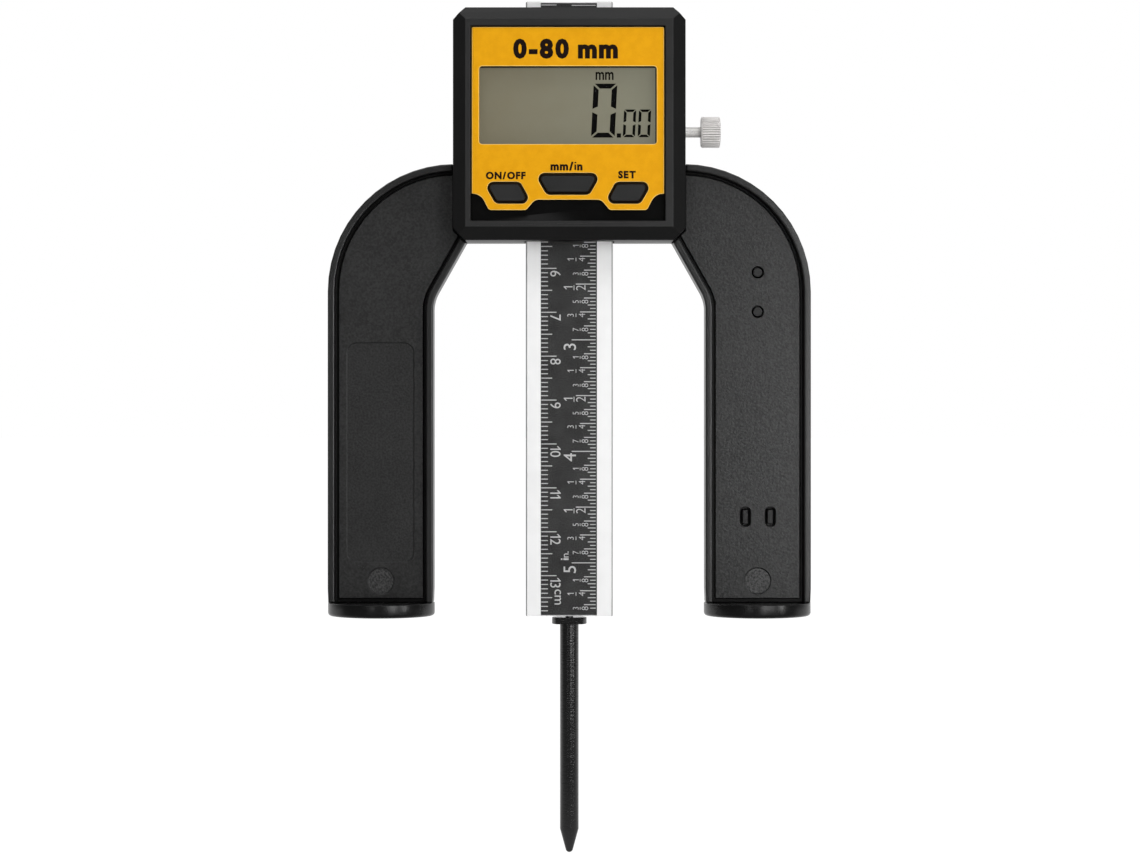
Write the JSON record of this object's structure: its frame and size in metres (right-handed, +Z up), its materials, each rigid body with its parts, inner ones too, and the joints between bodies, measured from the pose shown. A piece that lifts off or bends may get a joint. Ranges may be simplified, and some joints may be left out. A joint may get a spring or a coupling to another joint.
{
  "type": "digital height gauge",
  "caption": "Free-standing height and depth gauge: a display head on a bridge stand with round feet, a sliding scale beam and a probe.",
  "frame": {"origin": "below the middle of the stand, level with the probe's tip while the beam is at its lowest place", "axes": "+X to the right as seen from the display, +Y from the display to the battery lid, +Z up along the beam"},
  "size_m": [0.1104, 0.0244, 0.194],
  "materials": {
    "stand_plastic": "fine moulded texture, matte",
    "magnet": "sintered, ground flat",
    "black_metal": "blackened, semi-gloss",
    "head_plastic": "smooth moulded, semi-gloss",
    "face_plate": "printed sheet, satin",
    "key_rubber": "matte moulded rubber",
    "clear_window": "clear acrylic",
    "display": "grey olive display glass",
    "inner_plastic": "plain moulded",
    "contact_rubber": "layered contact rubber",
    "circuit_board": "green lacquer",
    "satin_steel": "ground satin",
    "scale_print": "dark print with pale lines",
    "nickel": "bright plated",
    "brass": "plain turned and cut"
  },
  "bodies": {
    "stand": {"arch_frame": "stand_plastic", "foot_left": "stand_plastic", "foot_right": "stand_plastic", "clip_upper": "stand_plastic", "clip_lower": "stand_plastic", "magnet_left": "magnet", "magnet_right": "magnet", "foot_screw_left": "black_metal", "foot_screw_right": "black_metal", "shell_screw_lower_left": "black_metal", "shell_screw_upper_left": "black_metal", "shell_screw_lower_right": "black_metal", "shell_screw_upper_right": "black_metal", "bridge_screw_left": "black_metal", "bridge_screw_right": "black_metal", "front_shell": "head_plastic", "rear_housing": "head_plastic", "faceplate": "face_plate", "display_window": "clear_window", "display_glass": "display", "display_holder": "inner_plastic", "chip": "inner_plastic", "contact_strip_upper": "contact_rubber", "contact_strip_lower": "contact_rubber", "circuit_board": "circuit_board", "guide_spring": "satin_steel", "switch_left": "satin_steel", "switch_middle": "satin_steel", "switch_right": "satin_steel", "battery": "nickel", "battery_contact_front": "nickel", "battery_contact_edge": "nickel", "guide_strip": "brass"},
    "beam": {"beam": "satin_steel", "scale_strip": "scale_print", "stop_screw_lower": "satin_steel", "stop_screw_upper": "satin_steel"},
    "probe": {"probe": "black_metal"},
    "lock_shoe": {"lock_shoe": "brass"},
    "lock_screw": {"lock_screw": "nickel", "lock_knob": "nickel"},
    "button_left": {"button_left": "key_rubber"},
    "button_middle": {"button_middle": "key_rubber"},
    "button_right": {"button_right": "key_rubber"},
    "battery_cover": {"battery_cover": "head_plastic"}
  },
  "joints": [
    {"name": "beam_slide", "type": "slide", "parent": "stand", "child": "beam", "axis": [0, 0, 1], "range_m": [0, 0.08]},
    {"name": "probe_release", "type": "slide", "parent": "beam", "child": "probe", "axis": [0, 0, -1], "range_m": [0, 0.01]},
    {"name": "lock_shoe_slide", "type": "slide", "parent": "stand", "child": "lock_shoe", "axis": [-1, 0, 0], "range_m": [-0.0014, 0.00028]},
    {"name": "lock_screw_turn", "type": "hinge", "parent": "lock_shoe", "child": "lock_screw", "pos_m": [0.03, -0.00155, 0.1644], "axis": [-1, 0, 0], "range_deg": [-721, 146]},
    {"name": "button_left_press", "type": "slide", "parent": "stand", "child": "button_left", "axis": [0, 1, 0], "range_m": [0, 0.0004], "stiffness_N_per_m": 400},
    {"name": "button_middle_press", "type": "slide", "parent": "stand", "child": "button_middle", "axis": [0, 1, 0], "range_m": [0, 0.0004], "stiffness_N_per_m": 400},
    {"name": "button_right_press", "type": "slide", "parent": "stand", "child": "button_right", "axis": [0, 1, 0], "range_m": [0, 0.0004], "stiffness_N_per_m": 400},
    {"name": "battery_cover_slide", "type": "slide", "parent": "stand", "child": "battery_cover", "axis": [0, 0, 1], "range_m": [0, 0.03]}
  ],
  "couplings": [
    {"joint": "lock_screw_turn", "follows": "lock_shoe_slide", "rad_per_m": 8976}
  ]
}
